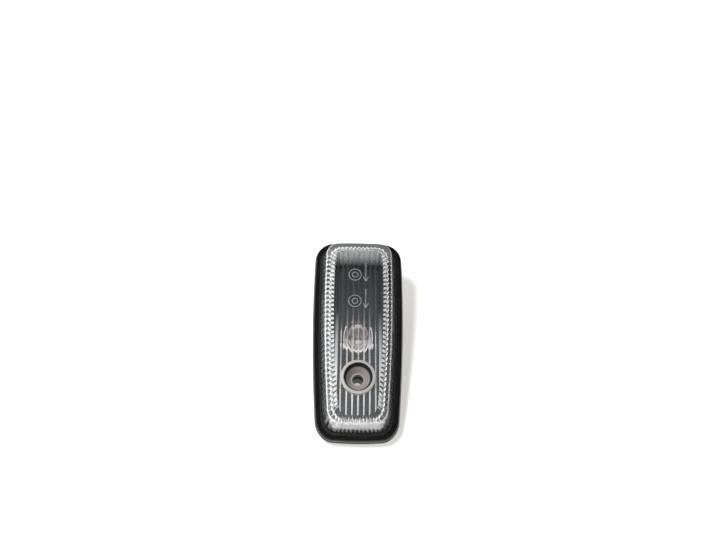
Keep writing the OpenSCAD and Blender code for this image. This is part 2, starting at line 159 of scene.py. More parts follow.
class LampLensSettings(bpy.types.PropertyGroup):
    """The clear moulding."""

    tint: bpy.props.FloatVectorProperty(
        name="Lens tint", description="Colour of the clear moulding",
        subtype="COLOR", size=3, min=0, max=1, default=(0.95, 0.96, 0.97))
    roughness: bpy.props.FloatProperty(
        name="Lens roughness", description="Haze of the polished faces",
        min=0, max=1, default=0.03)
    ior: bpy.props.FloatProperty(
        name="Refractive index", description="Refractive index of the moulding",
        min=1, max=2, default=1.58)
    smooth_angle: bpy.props.FloatProperty(
        name="Smoothing angle", description="Edges sharper than this stay crisp",
        subtype="ANGLE", default=math.radians(45))
    # The dish's brownish grey is painted shade: the shadowed table seen through the clear well.
    dish_shade_colour: bpy.props.FloatVectorProperty(
        name="Dish colour", description="Colour of the frosted dish in the screw well",
        subtype="COLOR", size=3, min=0, max=1, default=(0.52, 0.485, 0.465))
    dish_radius: bpy.props.FloatProperty(
        name="Dish radius", description="Radius of the frosted dish",
        subtype="DISTANCE", default=4.85 * MM)
    dish_top: bpy.props.FloatProperty(
        name="Dish top", description="Height below which the well is frosted",
        subtype="DISTANCE", default=11.75 * MM)
    well_radius: bpy.props.FloatProperty(
        name="Well radius", description="Radius of the screw well, a little more than its wall's",
        subtype="DISTANCE", default=5.9 * MM)
    # The well wall's dark colour is painted shade: the ring of shadow round the dish.
    well_shade_tint: bpy.props.FloatVectorProperty(
        name="Well wall tint", description="Colour of the straight wall of the screw well",
        subtype="COLOR", size=3, min=0, max=1, default=(0.035, 0.03, 0.027))
    rim_radius: bpy.props.FloatProperty(
        name="Rim radius", description="Outer radius of the rim of the screw well",
        subtype="DISTANCE", default=7.0 * MM)
    # The rim's pale, half-clear colour is a painted highlight of light caught in the clear rim.
    rim_highlight_tint: bpy.props.FloatVectorProperty(
        name="Rim tint", description="Colour of the rim of the screw well",
        subtype="COLOR", size=3, min=0, max=1, default=(0.86, 0.83, 0.79))
    rim_clarity: bpy.props.FloatProperty(
        name="Rim clarity", description="How clear the rim of the screw well is",
        min=0, max=1, default=0.4)
    rib_top: bpy.props.FloatProperty(
        name="Rib top", description="Height of the rounded tops of the ribs",
        subtype="DISTANCE", default=2.4 * MM)
    # The haze of the rib tops is a painted row of glints from light focused by the ribs.
    rib_glint_clarity: bpy.props.FloatProperty(
        name="Rib clarity", description="How clear the ribs are where they meet the face",
        min=0, max=1, default=0.05)
    # The haze of the shoulders is a painted highlight of light coming from the left.
    shoulder_highlight_clarity: bpy.props.FloatProperty(
        name="Shoulder clarity", description="How clear the steep part of the rib tops is",
        min=0, max=1, default=0.03)
    flank_clarity: bpy.props.FloatProperty(
        name="Flank clarity", description="How clear the flanks of the ribs are",
        min=0, max=1, default=0.97)
    rib_wall_clarity: bpy.props.FloatProperty(
        name="Wall rib clarity", description="How clear the flanks of the ribs on the walls are",
        min=0, max=1, default=0.7)
    rib_roughness: bpy.props.FloatProperty(
        name="Rib roughness", description="Roughness of the ribs on the walls",
        min=0, max=1, default=0.25)
    corner_x: bpy.props.FloatProperty(
        name="Corner offset", description="From the middle line to the centre of a corner",
        subtype="DISTANCE", default=8.6 * MM)
    corner_y: bpy.props.FloatProperty(
        name="Corner distance", description="From the middle to the centre of a corner",
        subtype="DISTANCE", default=33.7 * MM)
    middle_y: bpy.props.FloatProperty(
        name="Middle", description="From the screw's axis to the middle of the lens",
        subtype="DISTANCE", default=21.1 * MM)
    flutes_half_width: bpy.props.FloatProperty(
        name="Fluted half width", description="Half the width of the fluted roof",
        subtype="DISTANCE", default=10.2 * MM)
    # The haze on the ridges between flutes is a painted highlight.
    cusp_highlight_clarity: bpy.props.FloatProperty(
        name="Cusp clarity", description="How clear the ridges between flutes are near the screw",
        min=0, max=1, default=0.12)
    outer_cusp_x: bpy.props.FloatProperty(
        name="Outer ridges", description="Ridges farther out than this are the outer ones",
        subtype="DISTANCE", default=5.8 * MM)
    # The streaks along the face are painted highlights.
    streak_x: bpy.props.FloatProperty(
        name="Streak offset", description="From the middle line to the streaks along the face",
        subtype="DISTANCE", default=8.3 * MM)
    streak_width: bpy.props.FloatProperty(
        name="Streak width", description="Width of the streaks along the face",
        subtype="DISTANCE", default=1.0 * MM)
    # The face's slight haze near the screw is painted light that lightens that end.
    near_painted_light_clarity: bpy.props.FloatProperty(
        name="Near clarity", description="How clear the face is near the screw, where it is worn",
        min=0, max=1, default=0.962)
    pad_clarity: bpy.props.FloatProperty(
        name="Pad clarity", description="How clear the frosted pad at the face's far end is",
        min=0, max=1, default=0.84)
    pad_start: bpy.props.FloatProperty(
        name="Pad start", description="From the screw's axis to where the frosted pad starts",
        subtype="DISTANCE", default=49 * MM)
    pad_end: bpy.props.FloatProperty(
        name="Pad end", description="From the screw's axis to where the pad is fully frosted",
        subtype="DISTANCE", default=54 * MM)
    face_top: bpy.props.FloatProperty(
        name="Face height", description="Height of the face's edge",
        subtype="DISTANCE", default=13.5 * MM)
    face_thickness: bpy.props.FloatProperty(
        name="Face thickness", description="Thickness of the face",
        subtype="DISTANCE", default=1.9 * MM)
    edge_radius: bpy.props.FloatProperty(
        name="Edge radius", description="Radius of the edge round the face",
        subtype="DISTANCE", default=1.4 * MM)
    # The haze on the rounded edge is a painted highlight, strongest at the near end.
    edge_highlight_clarity: bpy.props.FloatProperty(
        name="Edge clarity", description="How clear the rounded edge is at the face's near end",
        min=0, max=1, default=0.1)
    wall_foot: bpy.props.FloatProperty(
        name="Wall foot", description="Height of the foot of the drafted walls",
        subtype="DISTANCE", default=3.8 * MM)
    wall_clarity: bpy.props.FloatProperty(
        name="Wall clarity", description="How clear the outside of the walls is",
        min=0, max=1, default=0.96)
    # The haze on the near end's wall is a painted band of light.
    near_wall_band_clarity: bpy.props.FloatProperty(
        name="Near wall clarity", description="How clear the outside of the near end's wall is",
        min=0, max=1, default=0.68)
    ledge_tint: bpy.props.FloatVectorProperty(
        name="Ledge tint", description="Colour of the satin ledge round the walls",
        subtype="COLOR", size=3, min=0, max=1, default=(0.02, 0.02, 0.022))


class LampMarkSettings(bpy.types.PropertyGroup):
    """Plain rings and arrows in low relief on the face."""

    relief: bpy.props.FloatProperty(
        name="Relief", description="Width of a moulded line",
        subtype="DISTANCE", default=0.17 * MM)
    height: bpy.props.FloatProperty(
        name="Relief height", description="Height of the marks above the face's edge",
        subtype="DISTANCE", default=0.39 * MM)
    ring_radius: bpy.props.FloatProperty(
        name="Ring radius", description="Radius of the plain rings",
        subtype="DISTANCE", default=2.6 * MM)
    ring_x: bpy.props.FloatProperty(
        name="Ring offset", description="How far the rings lie from the middle line",
        subtype="DISTANCE", default=-1.65 * MM)
    ring_first: bpy.props.FloatProperty(
        name="First ring", description="From the screw's axis to the nearer ring",
        subtype="DISTANCE", default=32.4 * MM)
    ring_pitch: bpy.props.FloatProperty(
        name="Ring pitch", description="Distance between the rings",
        subtype="DISTANCE", default=12.1 * MM)
    arrow_x: bpy.props.FloatProperty(
        name="Arrow offset", description="How far the arrows lie from the middle line",
        subtype="DISTANCE", default=2.95 * MM)
    arrow_length: bpy.props.FloatProperty(
        name="Arrow length", description="Length of an arrow",
        subtype="DISTANCE", default=8.5 * MM)


class LampPlasticSettings(bpy.types.PropertyGroup):
    """Opaque finishes."""

    housing_colour: bpy.props.FloatVectorProperty(
        name="Housing colour", description="Black moulding behind the lens",
        subtype="COLOR", size=3, min=0, max=1, default=(0.02, 0.021, 0.023))
    gasket_colour: bpy.props.FloatVectorProperty(
        name="Gasket colour", description="Black rubber of the frame",
        subtype="COLOR", size=3, min=0, max=1, default=(0.004, 0.0041, 0.0044))
    holder_colour: bpy.props.FloatVectorProperty(
        name="Holder colour", description="Natural nylon of the bulb holder",
        subtype="COLOR", size=3, min=0, max=1, default=(0.97, 0.945, 0.925))
    brass_colour: bpy.props.FloatVectorProperty(
        name="Brass colour", description="Stamped contacts",
        subtype="COLOR", size=3, min=0, max=1, default=(0.78, 0.60, 0.32))


class LampBulbSettings(bpy.types.PropertyGroup):
    """The bulb."""

    glass_colour: bpy.props.FloatVectorProperty(
        name="Glass colour", description="Colour of the bulb's glass",
        subtype="COLOR", size=3, min=0, max=1, default=(0.92, 0.87, 0.85))
    tip_clarity: bpy.props.FloatProperty(
        name="Tip clarity", description="How clear the glass is at the bulb's tip",
        min=0, max=1, default=0.96)
    tip_height: bpy.props.FloatProperty(
        name="Tip height", description="Height of the bulb's tip",
        subtype="DISTANCE", default=10.4 * MM)
    bloom_height: bpy.props.FloatProperty(
        name="Bloom height", description="Height below which the glass is quite clear",
        subtype="DISTANCE", default=8.0 * MM)
    lead_colour: bpy.props.FloatVectorProperty(
        name="Lead colour", description="Colour of the wires that carry the coil",
        subtype="COLOR", size=3, min=0, max=1, default=(0.5, 0.49, 0.47))
    coil_colour: bpy.props.FloatVectorProperty(
        name="Coil colour", description="Colour of the filament",
        subtype="COLOR", size=3, min=0, max=1, default=(0.35, 0.35, 0.36))
    coil_turns: bpy.props.IntProperty(
        name="Coil turns", description="Turns of the filament", min=4, max=40, default=18)
    coil_wire: bpy.props.FloatProperty(
        name="Coil wire", description="Diameter of the filament's wire",
        subtype="DISTANCE", default=0.12 * MM)


class LampStageSettings(bpy.types.PropertyGroup):
    """Table, light and camera."""

    camera_place: bpy.props.FloatVectorProperty(
        name="Camera place", description="Where the camera stands",
        subtype="XYZ_LENGTH", size=3, default=(-5.7 * MM, -68.9 * MM, 251.5 * MM))
    camera_turn: bpy.props.FloatVectorProperty(
        name="Camera turn", description="How the camera is turned",
        subtype="EULER", size=3,
        default=(math.radians(25.83), math.radians(-1.75), math.radians(0.37)))
    focal_pixels: bpy.props.FloatProperty(
        name="Focal length in pixels", description="Focal length in pixels of the photograph",
        default=620)
    tray_inset: bpy.props.FloatProperty(
        name="Tray inset", description="From the gasket's near edge to the housing's tray",
        subtype="DISTANCE", default=6.2 * MM)
    table_size: bpy.props.FloatProperty(
        name="Table size", description="Side of the square table top",
        subtype="DISTANCE", default=4.0)
    table_lift: bpy.props.FloatProperty(
        name="Table lift", description="Strength of the white added to the table near the lamp",
        default=0.49)
    near_table: bpy.props.FloatProperty(
        name="Near table", description="How far from the lamp the table keeps its shadows",
        subtype="DISTANCE", default=0.16)
    wall_strength: bpy.props.FloatProperty(
        name="Wall strength", description="Strength of the light from low all round", default=1.1)
    ceiling_strength: bpy.props.FloatProperty(
        name="Ceiling strength", description="Strength of the light from above", default=0.13)
    bright_side: bpy.props.FloatVectorProperty(
        name="Bright side", description="Direction from which most of the surrounding light comes",
        subtype="DIRECTION", size=3, default=(-0.6, -0.8, 0.0))
    bright_share: bpy.props.FloatProperty(
        name="Bright share", description="Share of the surrounding light on the bright side",
        min=0, max=3, default=1.7)
    dim_share: bpy.props.FloatProperty(
        name="Dim share", description="Share of the surrounding light on the other side",
        min=0, max=3, default=0.06)
    key_power: bpy.props.FloatProperty(
        name="Key power", description="Power of the key light", subtype="POWER", default=2.2)
    key_place: bpy.props.FloatVectorProperty(
        name="Key place", description="Middle of the key light",
        subtype="XYZ_LENGTH", size=3, default=(-0.2, 0.13, 0.5))
    key_size: bpy.props.FloatProperty(
        name="Key size", description="Side of the key light",
        subtype="DISTANCE", default=0.1)


def keep_piece(piece, node_names):
    """Links a finished mesh to the lamp's body and hides the imported solids it stands for."""
    if piece.name not in bpy.context.scene.collection.all_objects:
        bpy.context.scene.collection.objects.link(piece)
    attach(piece, BODY)
    if node_names:
        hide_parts(*node_names)


def merged_copy(node_name, piece_name, smooth_angle):
    """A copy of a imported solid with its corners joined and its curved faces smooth."""
    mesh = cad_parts[node_name].data.copy()
    mesh.name = piece_name
    work = bmesh.new()
    work.from_mesh(mesh)
    bmesh.ops.remove_doubles(work, verts=work.verts, dist=JOIN_DISTANCE)
    bmesh.ops.dissolve_degenerate(work, edges=work.edges, dist=SLIVER)
    work.to_mesh(mesh)
    work.free()
    if "custom_normal" in mesh.attributes:
        mesh.attributes.remove(mesh.attributes["custom_normal"])
    mesh.materials.clear()
    mesh.shade_smooth()
    mesh.set_sharp_from_angle(angle=smooth_angle)
    return bpy.data.objects.new(piece_name, mesh)


def paint(piece, material):
    """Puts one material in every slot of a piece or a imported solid."""
    if not piece.material_slots:
        piece.data.materials.append(material)
    for place in piece.material_slots:
        place.link = "OBJECT"
        place.material = material


def new_material(name):
    """A node material with its shader, ready for links."""
    material = bpy.data.materials.new(name)
    material.use_nodes = True
    tree = material.node_tree
    return material, tree, tree.nodes["Principled BSDF"]


def feed(tree, value, socket):
    """Gives a socket a plain value or links it to another socket."""
    if isinstance(value, bpy.types.NodeSocket):
        tree.links.new(value, socket)
    else:
        socket.default_value = value


def added(tree, kind, output, inputs, **choices):
    """Adds a node, makes its choices, feeds its inputs and returns one of its outputs."""
    node = tree.nodes.new(kind)
    for name, choice in choices.items():
        setattr(node, name, choice)
    for name, value in inputs.items():
        feed(tree, value, node.inputs[name])
    return node.outputs[output]


def calculated(tree, operation, first, second):
    """The result of a math node on sockets and plain numbers."""
    return added(tree, "ShaderNodeMath", "Value", {0: first, 1: second}, operation=operation)


def mapped(tree, value, start, end, at_start, at_end):
    """A value that goes from one number to another while its input goes from start to end."""
    return added(tree, "ShaderNodeMapRange", "Result", {
        "Value": value, "From Min": start, "From Max": end, "To Min": at_start,
        "To Max": at_end})


def part(tree, vector, axis):
    """The X, Y or Z of a vector."""
    return added(tree, "ShaderNodeSeparateXYZ", axis, {"Vector": vector})


def combined(tree, **parts):
    """A vector made of the parts that are given."""
    return added(tree, "ShaderNodeCombineXYZ", "Vector", parts)


def length_of(tree, vector):
    """The length of a vector."""
    return added(tree, "ShaderNodeVectorMath", "Value", {0: vector}, operation="LENGTH")


def place_on_object(tree):
    """The object's own coordinates."""
    return added(tree, "ShaderNodeTexCoord", "Object", {})


def object_noise(tree, scale, detail):
    """Noise on the object's own coordinates."""
    return added(tree, "ShaderNodeTexNoise", "Fac", {
        "Scale": scale, "Detail": detail, "Roughness": 0.55, "Vector": place_on_object(tree)})


def add_bump(tree, shader, height, strength, distance):
    """Bump from a height output."""
    normal = added(tree, "ShaderNodeBump", "Normal", {
        "Strength": strength, "Distance": distance, "Height": height})
    tree.links.new(normal, shader.inputs["Normal"])


def shaded(colour, share):
    """A colour made darker or brighter."""
    return tuple(value * share for value in colour)


def blend_colours(tree, factor, low, high, target):
    """Links a mix of two colours by a factor to a colour socket."""
    ramp = tree.nodes.new("ShaderNodeValToRGB")
    ramp.color_ramp.elements[0].color = (*low, 1)
    ramp.color_ramp.elements[1].color = (*high, 1)
    tree.links.new(factor, ramp.inputs["Fac"])
    tree.links.new(ramp.outputs["Color"], target)


def mixed_colour(tree, factor, low, high):
    """A mix of two colours, each a plain one or a socket."""
    return added(tree, "ShaderNodeMix", MIX_RESULT, {0: factor, MIX_LOW: low, MIX_HIGH: high},
                 data_type="RGBA")


def let_lamps_through(tree, shader, share):
    """Lets a share of the lamps' light reach what lies behind a clear surface."""
    lamps = added(tree, "ShaderNodeLightPath", "Is Shadow Ray", {})
    clear = added(tree, "ShaderNodeBsdfTransparent", "BSDF", {"Color": (share, share, share, 1)})
    mix = added(tree, "ShaderNodeMixShader", "Shader", {
        "Fac": lamps, 1: shader.outputs["BSDF"], 2: clear})
    tree.links.new(mix, tree.nodes["Material Output"].inputs["Surface"])


def dish_mask(tree, place, lens):
    """One on the frosted dish of the screw well, nought elsewhere."""
    flat = combined(tree, X=part(tree, place, "X"), Y=part(tree, place, "Y"))
    near = calculated(tree, "LESS_THAN", length_of(tree, flat), lens.dish_radius)
    below = calculated(tree, "LESS_THAN", part(tree, place, "Z"), lens.dish_top)
    return calculated(tree, "MULTIPLY", near, below)


def clear_lens_material(lens):
    """Clear moulding, polished outside, with a frosted dish in the screw well whose colour and rings
    are painted shade.
    """
    material, tree, shader = new_material("clear_lens_moulding")
    shader.inputs["IOR"].default_value = lens.ior
    place = place_on_object(tree)
    mask = dish_mask(tree, place, lens)
    rings = added(tree, "ShaderNodeTexWave", "Fac", {
        "Scale": 2 / lens.dish_radius, "Vector": place}, wave_type="RINGS", rings_direction="Z")
    # Darker rings on the dish: painted shading of its steps.
    frost = mixed_colour(tree, rings, (*shaded(lens.dish_shade_colour, 0.6), 1), (*lens.dish_shade_colour, 1))
    whole = mixed_colour(tree, mask, (*lens.tint, 1), frost)
    tree.links.new(whole, shader.inputs["Base Color"])
    roughness = mapped(tree, mask, 0, 1, lens.roughness, DISH_ROUGHNESS)
    tree.links.new(roughness, shader.inputs["Roughness"])
    along = part(tree, place, "Y")
    dish = mapped(tree, mask, 0, 1, 1, DISH_CLARITY)
    pad = mapped(tree, along, lens.pad_start, lens.pad_end, 1, lens.pad_clarity)
    # The face grows a little hazier towards the screw: painted light.
    near = mapped(tree, along, 0, lens.pad_start, lens.near_painted_light_clarity, 1)
    clear = calculated(tree, "MULTIPLY", calculated(tree, "MULTIPLY", dish, pad), near)
    tree.links.new(clear, shader.inputs["Transmission Weight"])
    grain = object_noise(tree, scale=260, detail=3)
    add_bump(tree, shader, grain, strength=0.04, distance=GRAIN)
    let_lamps_through(tree, shader, 1.0)
    return material


def hazy_shader(lens, name, tint, roughness):
    """What the hazy finishes of the clear moulding share."""
    material, tree, shader = new_material(name)
    shader.inputs["IOR"].default_value = lens.ior
    shader.inputs["Roughness"].default_value = roughness
    grain = object_noise(tree, scale=420, detail=3)
    blend_colours(tree, grain, shaded(tint, HAZE_SHADE), tint, shader.inputs["Base Color"])
    add_bump(tree, shader, grain, strength=0.04, distance=GRAIN)
    return material, tree, shader


def hazy_material(lens, name, tint, clear, roughness):
    """Clear moulding with an even haze, through which more light comes the clearer it is."""
    material, tree, shader = hazy_shader(lens, name, tint, roughness)
    shader.inputs["Transmission Weight"].default_value = clear
    let_lamps_through(tree, shader, HAZE_PASSES + CLARITY_PASSES * clear)
    return material


def fading_material(lens, name, axis, fade, clear_first, clear_last, roughness):
    """Clear moulding whose haze changes along one of the lamp's axes."""
    material, tree, shader = hazy_shader(lens, name, lens.tint, roughness)
    along = part(tree, place_on_object(tree), axis)
    clear = mapped(tree, along, *fade, clear_first, clear_last)
    tree.links.new(clear, shader.inputs["Transmission Weight"])
    let_lamps_through(tree, shader, FADING_PASSES)
    return material


def bulb_glass_material(bulb):
    """Clear bulb glass with a faint grey bloom on the tip."""
    material, tree, shader = new_material("bulb_glass")
    shader.inputs["IOR"].default_value = GLASS_IOR
    height = part(tree, place_on_object(tree), "Z")
    clear = mapped(tree, height, bulb.bloom_height, bulb.tip_height, 1, bulb.tip_clarity)
    tree.links.new(clear, shader.inputs["Transmission Weight"])
    film = object_noise(tree, scale=300, detail=3)
    low = shaded(bulb.glass_colour, 0.92)
    blend_colours(tree, film, low, bulb.glass_colour, shader.inputs["Base Color"])
    tree.links.new(mapped(tree, film, 0, 1, 0.03, 0.08), shader.inputs["Roughness"])
    add_bump(tree, shader, film, strength=0.05, distance=GRAIN)
    let_lamps_through(tree, shader, 1.0)
    return material


def mottled_shader(name, low, high, scale, detail, smooth, rough):
    """An opaque finish whose colour and roughness vary together."""
    material, tree, shader = new_material(name)
    mottle = object_noise(tree, scale, detail)
    blend_colours(tree, mottle, low, high, shader.inputs["Base Color"])
    tree.links.new(mapped(tree, mottle, 0, 1, smooth, rough), shader.inputs["Roughness"])
    return material, tree, shader, mottle


def rubber_material(name, colour):
    """Black rubber with a soft sheen and a fine, dusty grain."""
    material, tree, shader, _ = mottled_shader(
        name, colour, shaded(colour, 2), scale=90, detail=5, smooth=0.15, rough=0.24)
    grain = object_noise(tree, scale=5200, detail=2)
    add_bump(tree, shader, grain, strength=0.15, distance=GRAIN)
    return material


def black_moulding_material(colour):
    """Black moulding with a fine spark texture."""
    material, tree, shader, _ = mottled_shader(
        "black_spark_moulding", colour, shaded(colour, 1.6), scale=120, detail=4, smooth=0.3,
        rough=0.5)
    spark = object_noise(tree, scale=3600, detail=2)
    add_bump(tree, shader, spark, strength=0.35, distance=SPARK)
    return material


def nylon_material(colour):
    """Natural glass-filled nylon, a little blotchy."""
    material, tree, shader, fibres = mottled_shader(
        "natural_nylon", shaded(colour, 0.9), colour, scale=1400, detail=6, smooth=0.38,
        rough=0.55)
    shader.inputs["Subsurface Weight"].default_value = 0.15
    shader.inputs["Subsurface Radius"].default_value = (2 * MM, 1.8 * MM, 1.5 * MM)
    add_bump(tree, shader, fibres, strength=0.2, distance=GRAIN)
    return material


def metal_material(name, colour, roughness):
    """Drawn or stamped metal with fine streaks."""
    material, tree, shader, streaks = mottled_shader(
        name, shaded(colour, 0.82), colour, scale=2400, detail=4, smooth=roughness * 0.8,
        rough=roughness * 1.3)
    shader.inputs["Metallic"].default_value = 1.0
    add_bump(tree, shader, streaks, strength=0.1, distance=FINE_GRAIN)
    return material


def between(value, limits):
    """Whether a value lies between two limits."""
    return limits[0] < value < limits[1]


class LAMP_OT_lens(bpy.types.Operator):
    """Makes the clear lens with its flutes, ribs and screw well"""

    bl_idname = "lamp.lens"
    bl_label = "Lens"

    def execute(self, context):
        lens = context.scene.lamp_lens
        piece = merged_copy("lens", "clear_lens", lens.smooth_angle)
        keep_piece(piece, ["lens"])
        finishes = {"clear": clear_lens_material(lens)}
        finishes.update(self.even_finishes(lens))
        finishes.update(self.fading_finishes(lens))
        for name in LENS_REGIONS:
            piece.data.materials.append(finishes[name])
        for face in piece.data.polygons:
            face.material_index = LENS_REGIONS.index(self.region(face, lens))
        return {"FINISHED"}

    def even_finishes(self, lens):
        """The hazy finishes that are the same all over: name, tint, clarity and roughness."""
        table = {
            "rib_flanks": ("rib_flanks", lens.tint, lens.flank_clarity, 0.08),
            "shoulder_flanks": ("shoulder_flanks", lens.tint, lens.flank_clarity, 0.08),
            "ribbed_wall": ("ribbed_wall", lens.tint, lens.flank_clarity, lens.rib_roughness),
            "wall_flanks": ("wall_flanks", lens.tint, lens.rib_wall_clarity, lens.rib_roughness),
            # Well rim: a painted highlight.
            "well_rim": ("well_rim_painted_highlight", lens.rim_highlight_tint, lens.rim_clarity, 0.35),
            # Dark well wall and the flat ring below it: painted shade.
            "well_wall": ("well_wall", lens.well_shade_tint, 0.1, 0.3),
            "ledge": ("satin_ledge", lens.ledge_tint, 0.3, 0.6),
        }
        return {region: hazy_material(lens, *values) for region, values in table.items()}

    def fading_finishes(self, lens):
        """The finishes that fade: name, axis, fade, clarity at its two ends and roughness."""
        roof = lens.face_top - lens.face_thickness
        rib_fade = tuple(roof - depth for depth in RIB_TOP_FADE)
        shoulder_fade = tuple(roof - depth for depth in SHOULDER_FADE)
        wall_fade = (OUTER_WALL_FOOT, lens.face_top)
        table = {
            # Hazy rib tops: a painted row of glints.
            "rib_tops": ("painted_rib_glints", "Z", rib_fade, 1.0, lens.rib_glint_clarity, 0.5),
            # Hazy shoulders: painted highlights.
            "shoulders": ("painted_shoulder_highlights", "Z", shoulder_fade, 1.0, lens.shoulder_highlight_clarity,
                          0.5),
            "outer_wall": ("hazy_outer_wall", "Z", wall_fade, 1.0, lens.wall_clarity, 0.1),
            # Hazy near wall: a painted band of light.
            "near_wall": ("near_wall_painted_band", "Z", NEAR_WALL_FADE, 1.0, lens.near_wall_band_clarity,
                          0.15),
            # Hazy edge round the face: a painted highlight.
            "face_edge": ("face_edge_painted_highlight", "Y", FACE_EDGE_FADE, 0.35, lens.edge_highlight_clarity,
                          0.15),
            # Ridges between the flutes: painted highlights that fade away from the screw.
            "cusps": ("flute_ridge_highlights", "Y", CUSP_FADE, 0.97, lens.cusp_highlight_clarity, 0.15),
            "outer_cusps": ("outer_ridge_highlights", "Y", OUTER_CUSP_FADE, 0.97, 0.2, 0.15),
            # Streaks along the flutes: painted highlights.
            "streaks": ("painted_flute_streaks", "Y", STREAK_FADE, 1.0, 0.1, 0.15),
        }
        return {region: fading_material(lens, *values) for region, values in table.items()}

    def is_flank(self, face, lens):
        """Whether a face of a rib looks along the wall more than it looks out of it."""
        side = abs(face.center.x) - lens.corner_x
        end = abs(face.center.y - lens.middle_y) - lens.corner_y
        in_corner = min(side, end) > 0
        out = Vector((side, end) if in_corner else (side > end, side <= end)).normalized()
        flat = Vector((abs(face.normal.x), abs(face.normal.y)))
        return abs(flat.normalized().cross(out)) > ALONG_WALL

    def region(self, face, lens):
        """Which finish a face of the moulding has."""
        centre, normal = face.center, face.normal
        roof = lens.face_top - lens.face_thickness
        flute_top = roof + FLUTE_RISE
        edge_foot = lens.face_top - lens.edge_radius
        if math.hypot(centre.x, centre.y) < lens.rim_radius:
            return self.well_region(centre, normal, lens)
        # Two bands along the flutes carry painted highlight streaks.
        if (roof < centre.z < flute_top and -normal.z > STREAK_LEVEL
                and lens.streak_x < abs(centre.x) < lens.streak_x + lens.streak_width):
            return "streaks"
        if roof - lens.rib_top < centre.z < flute_top and between(-normal.z, RIB_SLOPE):
            return self.roof_region(face, roof, lens)
        # The rounded edge round the face takes a painted highlight.
        if edge_foot < centre.z < lens.face_top and between(normal.z, EDGE_SLOPE):
            return "face_edge"
        if centre.z < lens.wall_foot + FLUSH and normal.z > LEVEL:
            return "ledge"
        if lens.wall_foot < centre.z < roof and abs(normal.z) < STEEP:
            return self.wall_region(face, lens)
        return "clear"

    def well_region(self, centre, normal, lens):
        """The rim with its painted highlight, the wall with its painted shade, or the inside of the
        screw well.
        """
        from_screw = math.hypot(centre.x, centre.y)
        if centre.z > lens.face_top and normal.z > LEVEL and from_screw > lens.well_radius:
            return "well_rim"
        above_dish = centre.z > lens.dish_top - DISH_LIP
        on_wall = lens.dish_radius < from_screw < lens.well_radius
        return "well_wall" if above_dish and on_wall else "clear"

    def roof_region(self, face, roof, lens):
        """The ridges between the flutes and the tops of the ribs round them, whose hazy finishes are
        painted highlights and glints.
        """
        centre, normal = face.center, face.normal
        fluted = abs(centre.x) < lens.flutes_half_width
        if fluted and centre.z > roof and abs(normal.x) > CUSP_LEAN:
            return "cusps" if abs(centre.x) < lens.outer_cusp_x else "outer_cusps"
        if fluted and centre.z > roof - FLUSH:
            return "clear"
        flank = self.is_flank(face, lens)
        on_side = abs(centre.y - lens.middle_y) < lens.corner_y
        # Rib tops on the long sides take the painted glints.
        if -normal.z > STEEP:
            return "rib_tops" if on_side and not flank else "rib_flanks"
        # Shoulders on the right side stay clear, so their painted highlight shows only on the left,
        # where the light comes from.
        on_right = on_side and centre.x > 0
        return "shoulder_flanks" if on_right or flank else "shoulders"

    def wall_region(self, face, lens):
        """The outside of the walls, and the ribs on their inside."""
        centre, normal = face.center, face.normal
        if centre.x * normal.x + (centre.y - lens.middle_y) * normal.y > 0:
            return "near_wall" if normal.y < -END_WALL else "outer_wall"
        return "wall_flanks" if self.is_flank(face, lens) else "ribbed_wall"


class LAMP_OT_housing(bpy.types.Operator):
    """Gives the black housing its spark texture"""

    bl_idname = "lamp.housing"
    bl_label = "Housing"

    def execute(self, context):
        plastics = context.scene.lamp_plastics
        paint(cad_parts["housing"], black_moulding_material(plastics.housing_colour))
        return {"FINISHED"}


class LAMP_OT_gasket(bpy.types.Operator):
    """Makes the rubber frame and the holder's seal"""

    bl_idname = "lamp.gasket"
    bl_label = "Gasket"

    def execute(self, context):
        plastics = context.scene.lamp_plastics
        piece = merged_copy("gasket", "rubber_frame", GASKET_CREASE)
        keep_piece(piece, ["gasket"])
        paint(piece, rubber_material("frame_rubber", plastics.gasket_colour))
        paint(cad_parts["holder_seal"], rubber_material("seal_rubber", plastics.gasket_colour))
        return {"FINISHED"}


class LAMP_OT_holder(bpy.types.Operator):
    """Finishes the nylon holder and its brass contacts"""

    bl_idname = "lamp.holder"
    bl_label = "Bulb holder"

    def execute(self, context):
        plastics = context.scene.lamp_plastics
        paint(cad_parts["bulb_holder"], nylon_material(plastics.holder_colour))
        brass = metal_material("stamped_brass", plastics.brass_colour, 0.3)
        for side in ("left", "right"):
            paint(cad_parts["contact_" + side], brass)
        return {"FINISHED"}


def new_shape_tree(name, sizes):
    """A geometry tree with a named input for each size, those inputs and its output node."""
    tree = bpy.data.node_groups.new(name, "GeometryNodeTree")
    for title, value in sizes.items():
        kind = "NodeSocketInt" if isinstance(value, int) else "NodeSocketFloat"
        socket = tree.interface.new_socket(title, in_out="INPUT", socket_type=kind)
        socket.default_value = value
    tree.interface.new_socket("Geometry", in_out="OUTPUT", socket_type="NodeSocketGeometry")
    return tree, tree.nodes.new("NodeGroupInput").outputs, tree.nodes.new("NodeGroupOutput")


def realized(tree, geometry):
    """Instances turned into plain geometry."""
    return added(tree, "GeometryNodeRealizeInstances", "Geometry", {"Geometry": geometry})


def together(tree, shapes):
    """Several shapes as one."""
    join = tree.nodes.new("GeometryNodeJoinGeometry")
    for shape in shapes:
        tree.links.new(shape, join.inputs["Geometry"])
    return join.outputs["Geometry"]


def circle(tree, steps, radius):
    """A round curve."""
    return added(tree, "GeometryNodeCurvePrimitiveCircle", "Curve", {
        "Resolution": steps, "Radius": radius})


